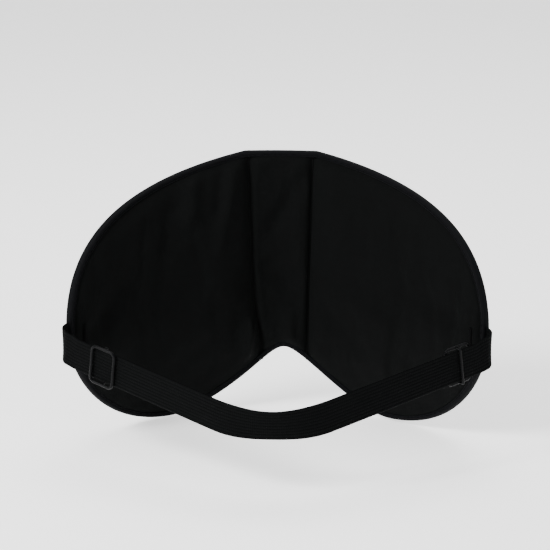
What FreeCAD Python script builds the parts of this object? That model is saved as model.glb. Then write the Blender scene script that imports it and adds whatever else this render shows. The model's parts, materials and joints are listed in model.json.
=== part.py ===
import FreeCAD, Part
import math
import os

from FreeCAD import Vector

Vector2d = FreeCAD.Base.Vector2d

os.makedirs("parts", exist_ok=True)

# An eye pillow: a soft pad bent round the face, held by one flat elastic.
# Millimetres. +Z is up and the wearer's face is on the -Y side. The origin is
# on the lining, in the middle of the centre panel.

# ---- the pad's flat pattern: x runs round the lining, y is the row's z ----
PAD_HALF_WIDTH = 107.5  # from the middle to the tip of a wing
TIP_HEIGHT = 3.0          # where the wings are widest
CROWN_RISE = 75.0         # top edge above the origin
CROWN_HALF = 16.0         # half of the straight stretch of the top edge
CROWN_SLOPE = 0.24        # how the dome falls away from that stretch
CROWN_REACH = 52.0        # how far the dome keeps that slope
TIP_REACH_UP = 42.0       # upright pull of the curve above the tip
TIP_REACH_DOWN = 21.0     # and below it
LOBE_DEPTH = 50.0         # bottom of the cheek lobes below the origin
LOBE_OFFSET = 53.0        # from the middle to the lowest point of a lobe
LOBE_REACH_OUT = 32.0     # width of the lobe's round, outer side
LOBE_REACH_IN = 21.0      # and on the side of the nose
NOTCH_DROP = 19.5         # top of the nose notch below the origin
NOTCH_REACH = 10.0        # roundness of the top of the notch

# ---- the bend and the layers, from the face outwards ----
FACE_RADIUS = 104.0
LINING = 0.8
WADDING = 1.2
POUCH = 4.0
POUCH_CLOTH = 0.4
COVER = 0.8
PAD_THICKNESS = LINING + WADDING + POUCH + WADDING + COVER

# ---- the seams ----
SEAM_TOP = 14.4           # channel seam to the middle, at the crown
SEAM_FOOT = 11.0          # the same at the foot of the lobes
SEAM_WIDTH = 1.0          # cloth folded into a channel seam
BINDING_WIDTH = 3.0       # tape seen on each side of the pad
BINDING_TAPE = 0.6
WADDING_INSET = 3.4       # wadding stops inside the binding's stitches
POUCH_INSET = 12.0
POUCH_SEAM_GAP = 3.0

# ---- the elastic ----
ELASTIC_WIDTH = 15.0
ELASTIC = 0.9
TAIL_LENGTH = 9.0         # sewn in between the layers
TAIL_FREE = 1.5           # from the pad's edge to where it starts to turn
TURN_RADIUS = 5.0
SEWN_HEIGHT = 0.0         # middle of the elastic where it is sewn in
TAIL_DROP = 3.6           # from there down to the hinge
TAIL_CURL = 1.5           # how late it falls
TAIL_STEPS = 8
TAIL_RUN = 4.2            # from the end of the turn to the hinge
HINGE_GAP = 0.8           # from the tail's end to the hinge
DROOP = math.radians(18.5)
RUN_ANGLE = math.radians(33.0)
MIDDLE_HALF = 25.0        # half width of the rounded middle
RUN_TILT = math.radians(4.0)
RUN_SPARE = 3.0           # length trimmed off where the run is cut square
MIDDLE_TILT = math.radians(19.0)
MIDDLE_SECTIONS = 17

# ---- the slides ----
SLIDE_LENGTH = 13.5       # along the elastic
SLIDE_WIRE = 1.3          # round wire, coated
SLIDE_BAR = 1.1           # the middle bar is of thinner wire
SLIDE_CORNER = 2.2        # bend of the ring's corners, on the wire's middle
SLIDE_BEND = 0.7          # bend of the middle bar's ends
SLIDE_CLEARANCE = 0.25
SLOT_CLEARANCE = 0.25     # round each tail in the binding's slot
WINDOW_CLEARANCE = 0.4
SLIDE_LEFT_AT = 16.3      # middle of the slide from the hinge
SLIDE_RIGHT_AT = 9.5

# ---- the bar tacks ----
TACK_WIDTH = 1.6
TACK_HEIGHT = 12.0
TACK_THREAD = 0.4
TACK_AT = 7.0             # from the tip of the wing, clear of the binding

LEFT = -1
RIGHT = 1
STRAIGHT_STEPS = 2
CURVED_STEPS = 15


def flat_bezier(*points):
    """A Bezier edge in the flat pattern."""
    curve = Part.BezierCurve()
    curve.setPoles([Vector(x, y, 0) for x, y in points])
    return curve.toShape()


def pad_outline():
    """The pad's finished edge: straight crown, domed wings, lobes, notch."""
    fall = CROWN_SLOPE * CROWN_REACH
    dome = [
        (CROWN_HALF, CROWN_RISE),
        (CROWN_HALF + CROWN_REACH, CROWN_RISE - fall),
        (PAD_HALF_WIDTH, TIP_HEIGHT + TIP_REACH_UP),
        (PAD_HALF_WIDTH, TIP_HEIGHT),
    ]
    cheek = [
        (PAD_HALF_WIDTH, TIP_HEIGHT),
        (PAD_HALF_WIDTH, TIP_HEIGHT - TIP_REACH_DOWN),
        (LOBE_OFFSET + LOBE_REACH_OUT, -LOBE_DEPTH),
        (LOBE_OFFSET, -LOBE_DEPTH),
    ]
    nose = [
        (LOBE_OFFSET, -LOBE_DEPTH),
        (LOBE_OFFSET - LOBE_REACH_IN, -LOBE_DEPTH),
        (NOTCH_REACH, -NOTCH_DROP),
        (0, -NOTCH_DROP),
    ]
    right = [dome, cheek, nose]
    left = [[(-x, y) for x, y in reversed(side)] for side in reversed(right)]
    crown = [(-CROWN_HALF, CROWN_RISE), (CROWN_HALF, CROWN_RISE)]
    return Part.Wire([flat_bezier(*side) for side in [crown] + right + left])


def flat_face(inset):
    """The pattern's face, inset from the finished edge."""
    outline = pad_outline()
    if inset > 0:
        outline = outline.makeOffset2D(-inset, 2)
    return Part.Face(outline)


def flat_polygon(points):
    """A straight-sided flat face."""
    corners = [Vector(x, y, 0) for x, y in points]
    return Part.Face(Part.makePolygon(corners + corners[:1]))


def seam_x(height):
    """Distance of the channel seam from the middle at a height."""
    share = (CROWN_RISE - height) / (CROWN_RISE + LOBE_DEPTH)
    return SEAM_TOP + (SEAM_FOOT - SEAM_TOP) * share


def panel_face(side, inset, gap):
    """One panel of the pattern; gap keeps it off the channel seams.

    side is LEFT, RIGHT or 0 for the centre panel.
    """
    top = 2 * CROWN_RISE
    foot = -2 * LOBE_DEPTH
    if side == 0:
        strip = [
            (gap - seam_x(foot), foot),
            (seam_x(foot) - gap, foot),
            (seam_x(top) - gap, top),
            (gap - seam_x(top), top),
        ]
    else:
        far = 2 * PAD_HALF_WIDTH
        strip = [
            (side * (seam_x(foot) + gap), foot),
            (side * far, foot),
            (side * far, top),
            (side * (seam_x(top) + gap), top),
        ]
    panel = flat_face(inset).common(flat_polygon(strip))
    return max(panel.Faces, key=lambda face: face.Area)


def bend_axis_cylinder(depth):
    """The cylinder on which a layer at this depth lies."""
    surface = Part.Cylinder()
    surface.Center = Vector(0, -FACE_RADIUS, 0)
    surface.Radius = FACE_RADIUS + depth
    return surface


def lay_edge(edge, surface):
    """A flat-pattern edge laid on a cylinder: x runs round it, y up it."""
    straight = edge.Curve.TypeId == "Part::GeomLine"
    steps = STRAIGHT_STEPS if straight else CURVED_STEPS
    points = [
        Vector2d(math.pi / 2 - point.x / FACE_RADIUS, point.y)
        for point in edge.discretize(Number=steps)
    ]
    if straight:
        return Part.Geom2d.Line2dSegment(points[0], points[-1]).toShape(surface)
    curve = Part.Geom2d.BSplineCurve2d()
    curve.interpolate(points)
    return curve.toShape(surface)


def bent_slab(face, depth_in, depth_out):
    """A flat-pattern face bent round the head, from one depth to another."""
    edges = face.OuterWire.OrderedEdges
    skins = []
    rims = []
    for depth in (depth_in, depth_out):
        surface = bend_axis_cylinder(depth)
        laid = [lay_edge(edge, surface) for edge in edges]
        rims.append(laid)
        skins.append(Part.Face(surface, Part.Wire(laid)))
    sides = [Part.makeRuledSurface(a, b) for a, b in zip(*rims)]
    shell = Part.makeShell(skins + sides)
    shell.sewShape()
    solid = Part.Solid(shell)
    if solid.Volume < 0:
        solid.reverse()
    return solid


def layer_depths():
    """Depth of each layer's two faces, from the face outwards."""
    depths = {}
    start = 0.0
    for name, thickness in (
        ("lining", LINING),
        ("face_wadding", WADDING),
        ("pouch", POUCH),
        ("front_wadding", WADDING),
        ("cover", COVER),
    ):
        depths[name] = (start, start + thickness)
        start += thickness
    return depths


def cloth_panel(layer, side):
    """A panel of the lining or the cover, its edge inside the binding."""
    face = panel_face(side, BINDING_TAPE, SEAM_WIDTH / 2)
    return bent_slab(face, *layer_depths()[layer])


def wadding_panel(layer, side):
    """A panel of soft wadding, clear of the binding's stitches."""
    face = panel_face(side, WADDING_INSET, SEAM_WIDTH / 2)
    return bent_slab(face, *layer_depths()[layer])


def pouch_body(side, cloth):
    """A wing's pouch, taken in by its cloth all round when cloth is given."""
    inner, outer = layer_depths()["pouch"]
    face = panel_face(side, POUCH_INSET + cloth, POUCH_SEAM_GAP + cloth)
    return bent_slab(face, inner + cloth, outer - cloth)


def bead_pouch(side):
    """The thin inner bag that holds a wing's filling."""
    return pouch_body(side, 0.0).cut(pouch_body(side, POUCH_CLOTH))


def bead_fill(side):
    """The loose filling, as one body that fills its pouch."""
    return pouch_body(side, POUCH_CLOTH)


def centre_core():
    """The strip of foam that keeps the centre panel in shape."""
    face = panel_face(0, POUCH_INSET, SEAM_WIDTH / 2)
    return bent_slab(face, *layer_depths()["pouch"])


def channel_seam(side):
    """The cloth folded in and stitched through between two panels."""
    outline = flat_face(BINDING_TAPE)
    top = 2 * CROWN_RISE
    foot = -2 * LOBE_DEPTH
    half = SEAM_WIDTH / 2
    strip = flat_polygon([
        (side * (seam_x(foot) - half), foot),
        (side * (seam_x(foot) + half), foot),
        (side * (seam_x(top) + half), top),
        (side * (seam_x(top) - half), top),
    ])
    face = outline.common(strip).Faces[0]
    return bent_slab(face, 0.0, PAD_THICKNESS)


def edge_binding():
    """The tape folded over the pad's edge, slotted for the elastic's tails."""
    past = 2 * BINDING_TAPE
    tape = bent_slab(flat_face(0), -BINDING_TAPE, PAD_THICKNESS + BINDING_TAPE)
    core = bent_slab(flat_face(BINDING_TAPE), 0.0, PAD_THICKNESS)
    window = bent_slab(flat_face(BINDING_WIDTH), -past, PAD_THICKNESS + past)
    tape = tape.cut(window).cut(core)
    for side in (LEFT, RIGHT):
        tape = tape.cut(elastic_tail(side, SLOT_CLEARANCE))
    return tape


# ---- the elastic's route in plan: out of the edge, round, and back ----


def heading(angle):
    """A level direction; zero is +X and angles grow towards +Y."""
    return Vector(math.cos(angle), math.sin(angle), 0)


def run_plan_angle():
    """Angle of the straight run to the X axis, seen from above."""
    return math.atan(math.tan(RUN_ANGLE) * math.cos(DROOP))


def tail_route():
    """Points of the right tail's middle line, out of the pad, round and to its hinge.

    It lies level between the layers, and falls more and more once it is out.
    """
    radius = FACE_RADIUS + PAD_THICKNESS / 2
    bend = PAD_HALF_WIDTH / FACE_RADIUS
    start_bend = (PAD_HALF_WIDTH - TAIL_LENGTH) / FACE_RADIUS
    centre = Vector(0, -FACE_RADIUS, SEWN_HEIGHT)
    points = []
    for step in range(TAIL_STEPS):
        angle = start_bend + (bend - start_bend) * step / TAIL_STEPS
        points.append(centre + heading(math.pi / 2 - angle) * radius)
    edge = centre + heading(math.pi / 2 - bend) * radius
    free = edge + heading(-bend) * TAIL_FREE
    turn_centre = free - heading(math.pi / 2 - bend) * TURN_RADIUS
    first = math.pi / 2 - bend
    last = run_plan_angle() - math.pi / 2
    outside = [edge]
    for step in range(2 * TAIL_STEPS + 1):
        angle = first + (last - first) * step / (2 * TAIL_STEPS)
        outside.append(turn_centre + heading(angle) * TURN_RADIUS)
    back = heading(last - math.pi / 2)
    outside.append(outside[-1] + back * (TAIL_RUN - HINGE_GAP))
    outside.append(outside[-1] + back * HINGE_GAP)
    whole = sum((b - a).Length for a, b in zip(outside, outside[1:]))
    walked = 0.0
    for index, point in enumerate(outside):
        if index:
            walked += (point - outside[index - 1]).Length
        fall = TAIL_DROP * (walked / whole) ** TAIL_CURL
        points.append(point - Vector(0, 0, fall))
    return points


def elastic_tail(side, clearance=0.0):
    """The end of the elastic: sewn in, out over the edge and turned back."""
    route = tail_route()[:-1]
    curve = Part.BSplineCurve()
    curve.interpolate(route)
    start = route[0]
    start_bend = (PAD_HALF_WIDTH - TAIL_LENGTH) / FACE_RADIUS
    across = heading(math.pi / 2 - start_bend) * (ELASTIC / 2 + clearance)
    rise = Vector(0, 0, ELASTIC_WIDTH / 2 + clearance)
    corners = [
        start + across - rise, start - across - rise, start - across + rise, start + across + rise,
    ]
    sweep = Part.BRepOffsetAPI.MakePipeShell(Part.Wire([curve.toShape()]))
    sweep.setBiNormalMode(Vector(0, 0, 1))
    sweep.add(Part.makePolygon(corners + corners[:1]))
    sweep.build()
    sweep.makeSolid()
    tail = sweep.shape()
    if side == LEFT:
        tail = tail.mirror(Vector(0, 0, 0), Vector(1, 0, 0))
    return tail


# ---- the free elastic: it hangs in a plane through both hinges ----


def hinge_point():
    """Where the free elastic starts on the right; the left is its mirror."""
    return tail_route()[-1]


def strap_point(across, reach):
    """A point of the drooping plane: across is x, reach is out from the hinges."""
    hinge = hinge_point()
    drop = Vector(0, -math.cos(DROOP), -math.sin(DROOP)) * reach
    return Vector(across, hinge.y, hinge.z) + drop


def run_reach():
    """How far out a straight run ends."""
    return (hinge_point().x - MIDDLE_HALF) * math.tan(RUN_ANGLE)


def run_direction(side):
    """Along a straight run, from its hinge towards the middle."""
    start = strap_point(side * hinge_point().x, 0.0)
    end = strap_point(side * MIDDLE_HALF, run_reach())
    return (end - start).normalize()


def band_axes(tangent, tilt):
    """The elastic's width and thickness directions where it runs along tangent.

    The width leans forward by tilt and the thickness points away from the pad.
    """
    lean = Vector(0, -math.sin(tilt), math.cos(tilt))
    width = (lean - tangent * lean.dot(tangent)).normalize()
    out = tangent.cross(width).normalize()
    if out.y > 0:
        out = -out
    return width, out


def band_section(point, tangent, tilt):
    """The elastic's rectangle at one point of its middle line."""
    width, out = band_axes(tangent, tilt)
    half_width = width * (ELASTIC_WIDTH / 2)
    half_out = out * (ELASTIC / 2)
    corners = [
        point + half_width + half_out,
        point - half_width + half_out,
        point - half_width - half_out,
        point + half_width - half_out,
    ]
    return Part.makePolygon(corners + corners[:1])


def straight_run(side):
    """One straight run of the elastic, begun behind its hinge to be trimmed."""
    direction = run_direction(side)
    start = strap_point(side * hinge_point().x, 0.0) - direction * RUN_SPARE
    end = strap_point(side * MIDDLE_HALF, run_reach())
    section = Part.Face(band_section(start, direction, RUN_TILT))
    return section.extrude(end - start)


def middle_run():
    """The rounded middle, an arc on which the elastic leans further forward."""
    radius = MIDDLE_HALF / math.sin(RUN_ANGLE)
    sections = []
    for step in range(MIDDLE_SECTIONS):
        share = 2 * step / (MIDDLE_SECTIONS - 1) - 1
        turn = RUN_ANGLE * share
        rise = radius * (math.cos(turn) - math.cos(RUN_ANGLE))
        point = strap_point(radius * math.sin(turn), run_reach() + rise)
        ahead = strap_point(math.cos(turn), -math.sin(turn))
        tangent = (ahead - strap_point(0.0, 0.0)).normalize()
        ease = (1 + math.cos(math.pi * share)) / 2
        tilt = RUN_TILT + (MIDDLE_TILT - RUN_TILT) * ease
        sections.append(band_section(point, tangent, tilt))
    return Part.makeLoft(sections, True, False)


def strap_elastic():
    """The free elastic, cut square to the axis that it swings about."""
    band = straight_run(LEFT).fuse([middle_run(), straight_run(RIGHT)])
    reach = hinge_point().x
    room = 2 * reach
    between = Part.makeBox(
        2 * reach, 2 * room, 2 * room, Vector(-reach, hinge_point().y - room, -room)
    )
    return band.common(between).removeSplitter()


# ---- the slides ----


def wire_along(path, width):
    """Round wire of this width, bent along a smooth path of edges."""
    spine = Part.Wire(path)
    start = spine.Edges[0]
    at = start.valueAt(start.FirstParameter)
    ahead = start.tangentAt(start.FirstParameter)
    section = Part.Wire(Part.makeCircle(width / 2, at, ahead))
    return spine.makePipeShell([section], True, False)


def rounded_path(corners, radius, closed):
    """Straight edges between corners, with an arc of this radius at each bend."""
    count = len(corners)
    bends = range(count) if closed else range(1, count - 1)
    cuts = {}
    for index in bends:
        corner = corners[index]
        back = (corners[index - 1] - corner).normalize()
        on = (corners[(index + 1) % count] - corner).normalize()
        centre = corner + (back + on) * radius
        middle = centre + (corner - centre).normalize() * radius
        cuts[index] = (corner + back * radius, middle, corner + on * radius)
    path = []
    for index in range(count if closed else count - 1):
        after = (index + 1) % count
        start = cuts[index][2] if index in cuts else corners[index]
        end = cuts[after][0] if after in cuts else corners[after]
        path.append(Part.makeLine(start, end))
        if after in cuts:
            path.append(Part.Arc(*cuts[after]).toShape())
    return path


def slide_blank():
    """A wire slide round a level elastic that runs along x.

    Its rounded ring lies over the elastic, and its middle bar, a staple
    joined to the ring's rails, dips under it.
    """
    along = (SLIDE_LENGTH - SLIDE_WIRE) / 2
    across = ELASTIC_WIDTH / 2 + WINDOW_CLEARANCE + SLIDE_WIRE / 2
    over = ELASTIC / 2 + SLIDE_CLEARANCE + SLIDE_WIRE / 2
    ring = rounded_path([
        Vector(-along, -across, over),
        Vector(along, -across, over),
        Vector(along, across, over),
        Vector(-along, across, over),
    ], SLIDE_CORNER, True)
    staple = rounded_path([
        Vector(0, across, over),
        Vector(0, across, -over),
        Vector(0, -across, -over),
        Vector(0, -across, over),
    ], SLIDE_BEND, False)
    return wire_along(ring, SLIDE_WIRE).fuse(wire_along(staple, SLIDE_BAR))


def slide(side, reach, flipped):
    """A slide on a straight run, its middle at this reach from the hinge."""
    direction = run_direction(side)
    width, out = band_axes(direction, RUN_TILT)
    if flipped:
        out = -out
    along = width.cross(out)
    place = strap_point(side * hinge_point().x, 0.0) + direction * reach
    placed = slide_blank()
    placed.Placement = FreeCAD.Placement(FreeCAD.Matrix(
        along.x, width.x, out.x, place.x,
        along.y, width.y, out.y, place.y,
        along.z, width.z, out.z, place.z,
        0, 0, 0, 1,
    ))
    return placed


def strap_tack(side):
    """The bar tack over the sewn-in tail, on the lining."""
    edge = side * (PAD_HALF_WIDTH - TACK_AT)
    low = SEWN_HEIGHT - TACK_HEIGHT / 2
    face = flat_polygon([
        (edge - TACK_WIDTH / 2, low),
        (edge + TACK_WIDTH / 2, low),
        (edge + TACK_WIDTH / 2, low + TACK_HEIGHT),
        (edge - TACK_WIDTH / 2, low + TACK_HEIGHT),
    ])
    return bent_slab(face, -TACK_THREAD, 0.0)


def write(name, shape):
    shape.exportStep("parts/" + name + ".step")
    solids = len(shape.Solids)
    print(name, solids, "solid(s)", round(shape.Volume, 1), "mm3", shape.isValid())


def main():
    for side, word in ((LEFT, "left"), (0, "centre"), (RIGHT, "right")):
        write("lining_" + word, cloth_panel("lining", side))
        write("face_wadding_" + word, wadding_panel("face_wadding", side))
        write("front_wadding_" + word, wadding_panel("front_wadding", side))
        write("cover_" + word, cloth_panel("cover", side))
    for side, word in ((LEFT, "left"), (RIGHT, "right")):
        write("bead_pouch_" + word, bead_pouch(side))
        write("bead_fill_" + word, bead_fill(side))
        write("channel_seam_" + word, channel_seam(side))
        write("elastic_tail_" + word, elastic_tail(side))
        write("strap_tack_" + word, strap_tack(side))
    write("centre_core", centre_core())
    write("edge_binding", edge_binding())
    write("strap_elastic", strap_elastic())
    write("slide_left", slide(LEFT, SLIDE_LEFT_AT, False))
    write("slide_right", slide(RIGHT, SLIDE_RIGHT_AT, True))


main()
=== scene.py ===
# %% [markdown]
# # An eye pillow, sewn from three padded panels
# The object is a soft mask for the eyes. Two wings and a narrow centre panel are
# sewn together, bound round the edge with a folded tape, and held on the head by
# one flat elastic with a wire slide at each side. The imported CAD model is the
# frame: it says how big each piece is and which body it rides on. Here every
# soft piece is made again as cloth, and gets its weave, seams and stitches.

# %% Load the frame
import json
import math

import bmesh
import bpy
import numpy as np
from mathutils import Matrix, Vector


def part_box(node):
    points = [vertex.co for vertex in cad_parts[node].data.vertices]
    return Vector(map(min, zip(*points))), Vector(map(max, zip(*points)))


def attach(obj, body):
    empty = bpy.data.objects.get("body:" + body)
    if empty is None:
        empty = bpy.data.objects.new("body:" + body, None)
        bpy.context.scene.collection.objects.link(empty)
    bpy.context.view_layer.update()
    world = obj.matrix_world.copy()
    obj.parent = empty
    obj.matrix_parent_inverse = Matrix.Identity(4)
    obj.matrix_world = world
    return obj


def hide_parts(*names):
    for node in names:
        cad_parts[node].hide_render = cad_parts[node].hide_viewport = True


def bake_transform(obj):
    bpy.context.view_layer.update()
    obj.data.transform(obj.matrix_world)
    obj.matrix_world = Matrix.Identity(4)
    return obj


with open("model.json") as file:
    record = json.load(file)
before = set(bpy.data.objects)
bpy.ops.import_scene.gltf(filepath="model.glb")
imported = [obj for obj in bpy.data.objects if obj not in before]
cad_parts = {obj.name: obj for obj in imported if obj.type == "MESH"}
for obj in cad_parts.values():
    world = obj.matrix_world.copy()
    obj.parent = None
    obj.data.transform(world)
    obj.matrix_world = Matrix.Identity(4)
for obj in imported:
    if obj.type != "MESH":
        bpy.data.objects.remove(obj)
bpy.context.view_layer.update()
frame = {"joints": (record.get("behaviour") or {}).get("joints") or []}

# %% [markdown]
# ## The pad's sizes
# A pad like this is cut flat and then bends round the face. So a point of it has
# three numbers: s runs round the face, z runs up, and depth is how far it lies
# from the lining towards the outside. The heights come from the frame's boxes,
# and the other sizes repeat the pattern's own, in metres.

# %% Sizes of the pad
LOW, HIGH = (np.array(corner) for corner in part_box("edge_binding"))
CROWN_RISE = HIGH[2]
LOBE_DEPTH = -LOW[2]
FACE_RADIUS = 0.104
PAD_THICKNESS = 0.008
PAD_HALF_WIDTH = 0.1075
TIP_HEIGHT = 0.003
CROWN_HALF = 0.016
CROWN_SLOPE = 0.24
CROWN_REACH = 0.052
TIP_REACH_UP = 0.042
TIP_REACH_DOWN = 0.021
LOBE_OFFSET = 0.053
LOBE_REACH_OUT = 0.032
LOBE_REACH_IN = 0.021
NOTCH_DROP = 0.0195
NOTCH_REACH = 0.010
SEAM_TOP = 0.0144
SEAM_FOOT = 0.011
MIDDLE_DEPTH = PAD_THICKNESS / 2
LEFT, RIGHT = -1, 1
print("crown", CROWN_RISE, "lobes", LOBE_DEPTH)


# %% Bend flat points round the face
SKEW = 0.0036            # how far the soft left cheek has slid towards the nose
SKEW_AT, SKEW_SPAN = -0.020, 0.022
SKEW_HEIGHT, SKEW_FADE = -0.006, 0.006


def settled(s, z):
    """s plus a bell in s, switched on below a height: the pad isn't quite symmetric."""
    bell = np.exp(-(((s - SKEW_AT) / SKEW_SPAN) ** 2))
    return s + SKEW * bell / (1 + np.exp((z - SKEW_HEIGHT) / SKEW_FADE))


def bend(s, z, depth):
    """x = (R + depth) sin(s/R), y = (R + depth) cos(s/R) - R, and z stays."""
    radius = FACE_RADIUS + depth
    angle = settled(np.asarray(s), np.asarray(z)) / FACE_RADIUS
    x = radius * np.sin(angle)
    y = radius * np.cos(angle) - FACE_RADIUS
    return np.stack(np.broadcast_arrays(x, y, np.asarray(z, float)), axis=-1)


# %% [markdown]
# ## The pad's outline
# The finished edge is a straight crown, a long dome to the tip of each wing, a
# round cheek lobe and a nose notch. Each stretch is one Bezier curve, because a
# pattern cutter draws it with one sweep of a French curve. The stretches are
# joined and then walked at even steps, so that tape and stitches are even too.

# %% The outline as one even line
def bezier(points, count):
    """Cubic Bezier: the four points weighed by (1-t)^3, 3t(1-t)^2, 3t^2(1-t), t^3."""
    t = np.linspace(0, 1, count)[:, None]
    a, b, c, d = (np.array(point) for point in points)
    return (1 - t) ** 3 * a + 3 * t * (1 - t) ** 2 * b + 3 * t**2 * (1 - t) * c + t**3 * d


def even_steps(line, count):
    """The same line walked at even arc length, from its start to its end."""
    gaps = np.linalg.norm(np.diff(line, axis=0), axis=1)
    along = np.concatenate([[0], np.cumsum(gaps)])
    wanted = np.linspace(0, along[-1], count)
    return np.stack([np.interp(wanted, along, column) for column in line.T], axis=1)


def half_outline():
    """The right half of the edge, from the crown's middle to the notch's top."""
    fall = CROWN_SLOPE * CROWN_REACH
    corner = (CROWN_HALF, CROWN_RISE)
    tip = (PAD_HALF_WIDTH, TIP_HEIGHT)
    lobe = (LOBE_OFFSET, -LOBE_DEPTH)
    crown = np.linspace([0, CROWN_RISE], corner, 60)
    dome = bezier([
        corner, (CROWN_HALF + CROWN_REACH, CROWN_RISE - fall),
        (PAD_HALF_WIDTH, TIP_HEIGHT + TIP_REACH_UP), tip,
    ], 400)
    cheek = bezier([
        tip, (PAD_HALF_WIDTH, TIP_HEIGHT - TIP_REACH_DOWN),
        (LOBE_OFFSET + LOBE_REACH_OUT, -LOBE_DEPTH), lobe,
    ], 300)
    nose = bezier([
        lobe, (LOBE_OFFSET - LOBE_REACH_IN, -LOBE_DEPTH),
        (NOTCH_REACH, -NOTCH_DROP), (0, -NOTCH_DROP),
    ], 300)
    return np.concatenate([crown[:-1], dome[:-1], cheek[:-1], nose])


HALF_EDGE = even_steps(half_outline(), 2400)
EDGE_STEP = np.linalg.norm(HALF_EDGE[1] - HALF_EDGE[0])
EDGE_LENGTH = 2 * EDGE_STEP * (len(HALF_EDGE) - 1)
print("edge, once round:", round(EDGE_LENGTH * 1000), "mm")


# %% [markdown]
# ## Each panel as a patch between four sides
# A wing has a straight side at the channel seam, the dome above, the tip, and the
# lobe below. A Coons patch fills four such sides: it adds the two ruled sheets
# between opposite sides and takes away the sheet through the corners. The grid
# follows the seams, so creases and stitches can follow the grid.

# %% Coons patches for the wings and the centre panel
def seam_x(height):
    """Distance of a channel seam from the middle at a height."""
    share = (CROWN_RISE - height) / (CROWN_RISE + LOBE_DEPTH)
    return SEAM_TOP + (SEAM_FOOT - SEAM_TOP) * share


def coons(low, high, start, end):
    """Patch from four sides of points: low and high run with u, start and end with v."""
    u = np.linspace(0, 1, len(low))[None, :, None]
    v = np.linspace(0, 1, len(start))[:, None, None]
    ruled_v = (1 - v) * low[None] + v * high[None]
    ruled_u = (1 - u) * start[:, None] + u * end[:, None]
    corners = (
        (1 - u) * (1 - v) * low[0] + u * (1 - v) * low[-1]
        + (1 - u) * v * high[0] + u * v * high[-1]
    )
    return ruled_v + ruled_u - corners


SEAM_DISTANCE = HALF_EDGE[:, 0] - seam_x(HALF_EDGE[:, 1])
HALF_COUNT = len(HALF_EDGE)
TOP_AT = int(np.argmin(np.abs(SEAM_DISTANCE[: HALF_COUNT // 2])))
FOOT_AT = HALF_COUNT // 2 + int(np.argmin(np.abs(SEAM_DISTANCE[HALF_COUNT // 2:])))
TIP_HIGH = 0.46          # share of the half outline where the wing's tip side starts
TIP_LOW = 0.66           # and where it ends
PANEL_STEP = 0.0017
PANEL_ROWS = int(round(CROWN_RISE * 1.2 / PANEL_STEP))
RIGHT_SEAM = np.linspace(HALF_EDGE[FOOT_AT], HALF_EDGE[TOP_AT], PANEL_ROWS)


def wing_patch():
    """(s, z) grid of the right wing; u runs from the seam to the tip, v upwards."""
    high_at = int(TIP_HIGH * HALF_COUNT)
    low_at = int(TIP_LOW * HALF_COUNT)
    across = int(round((PAD_HALF_WIDTH - SEAM_TOP) / PANEL_STEP))
    high = even_steps(HALF_EDGE[TOP_AT:high_at + 1], across)
    tip = even_steps(HALF_EDGE[high_at:low_at + 1][::-1], PANEL_ROWS)
    low = even_steps(HALF_EDGE[low_at:FOOT_AT + 1][::-1], across)
    return coons(low, high, RIGHT_SEAM, tip)


def centre_patch():
    """(s, z) grid of the centre panel, between the two channel seams."""
    across = int(round(2 * SEAM_TOP / PANEL_STEP)) + 1
    mirror = np.array([-1, 1])
    top = np.linspace(HALF_EDGE[TOP_AT] * mirror, HALF_EDGE[TOP_AT], across)
    right_foot = HALF_EDGE[FOOT_AT:]
    foot = np.concatenate([right_foot * mirror, right_foot[::-1][1:]])
    return coons(even_steps(foot, across), top, RIGHT_SEAM * mirror, RIGHT_SEAM)


WING = wing_patch()
CENTRE = centre_patch()
print("wing grid", WING.shape, "centre grid", CENTRE.shape)

# %% [markdown]
# ## From a flat patch to a stuffed panel
# A panel is two layers of cloth, the lining and the cover, sewn together all
# round. They start as a low cushion. The border and the strip under the tape are
# pinned where the needle holds them, and Blender's cloth solver then blows the
# panel up a little, as the wadding and the beads do. The cloth near the seams is
# cut over-long, so it turns into soft puckers that run off them, which a formula
# alone would draw too evenly.

# %% Distances that pins, creases and puckers follow
TAPE_WIDTH = 0.0027
EDGE_HALF_THICKNESS = 0.0013
CROWN_HEIGHT = 0.0030
CROWN_SPAN = 0.010


def distance_to_edge(points):
    """Smallest distance from each flat point to the finished edge."""
    flat = np.abs(points.reshape(-1, 2) * [1, 0]) + points.reshape(-1, 2) * [0, 1]
    nearest = np.empty(len(flat))
    sparse = HALF_EDGE[::6]
    for start in range(0, len(flat), 2000):
        gap = flat[start:start + 2000, None] - sparse[None]
        nearest[start:start + 2000] = np.sqrt((gap**2).sum(-1)).min(1)
    return nearest.reshape(points.shape[:-1])


def distance_to_seam(points):
    """Distance from each flat point to the nearer channel seam."""
    return np.abs(np.abs(points[..., 0]) - seam_x(points[..., 1]))


def half_thickness(points):
    """Rises from nothing at the stitches to a crown, as a quarter of an ellipse."""
    edge = distance_to_edge(points)
    seam = distance_to_seam(points)
    lip = EDGE_HALF_THICKNESS * np.minimum(edge / TAPE_WIDTH, 1)
    fall = np.minimum(seam / TAPE_WIDTH, 1)
    rise = np.ones_like(edge)
    for gap in (np.maximum(edge - TAPE_WIDTH, 0), seam):
        share = np.minimum(gap / CROWN_SPAN, 1)
        rise = rise * np.sqrt(1 - (1 - share) ** 2)
    return lip * fall + CROWN_HEIGHT * rise


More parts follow.
